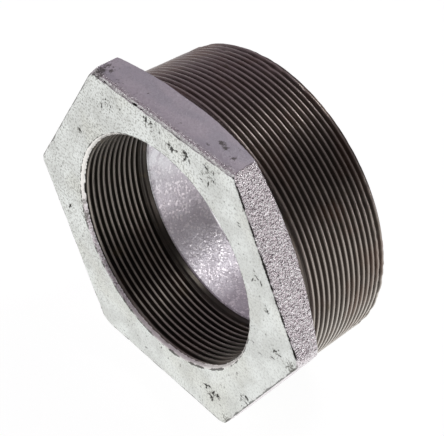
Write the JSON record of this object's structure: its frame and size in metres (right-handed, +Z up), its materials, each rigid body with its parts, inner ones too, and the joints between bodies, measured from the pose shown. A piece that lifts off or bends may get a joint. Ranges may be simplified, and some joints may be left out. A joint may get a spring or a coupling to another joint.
{
  "type": "hexagon reducing bush",
  "caption": "Short hexagon-headed pipe reducing bush: taper male thread outside, smaller parallel female thread inside, one open bore through both ends.",
  "frame": {"origin": "on the surface the bush lies on, under the middle of its length, directly below its axis", "axes": "+Y along the bush's axis from the female mouth to the male end, +Z up through a flat of the hexagon, +X through a corner of the hexagon"},
  "size_m": [0.1328, 0.05, 0.116],
  "materials": {
    "zinc_head": "hot-dip galvanised, pale grey with a green tint, mottled and pitted",
    "zinc_bore": "hot-dip galvanised as-cast wall, rough lavender-grey spangle",
    "cut_iron_outside": "bare machined thread, dark brown-grey, oily sheen",
    "cut_iron_inside": "bare machined thread, dark brown-black, oily sheen"
  },
  "bodies": {
    "root": {"hex_head": "zinc_head", "tube_wall": "zinc_bore", "male_thread": "cut_iron_outside", "female_thread": "cut_iron_inside"}
  },
  "joints": []
}
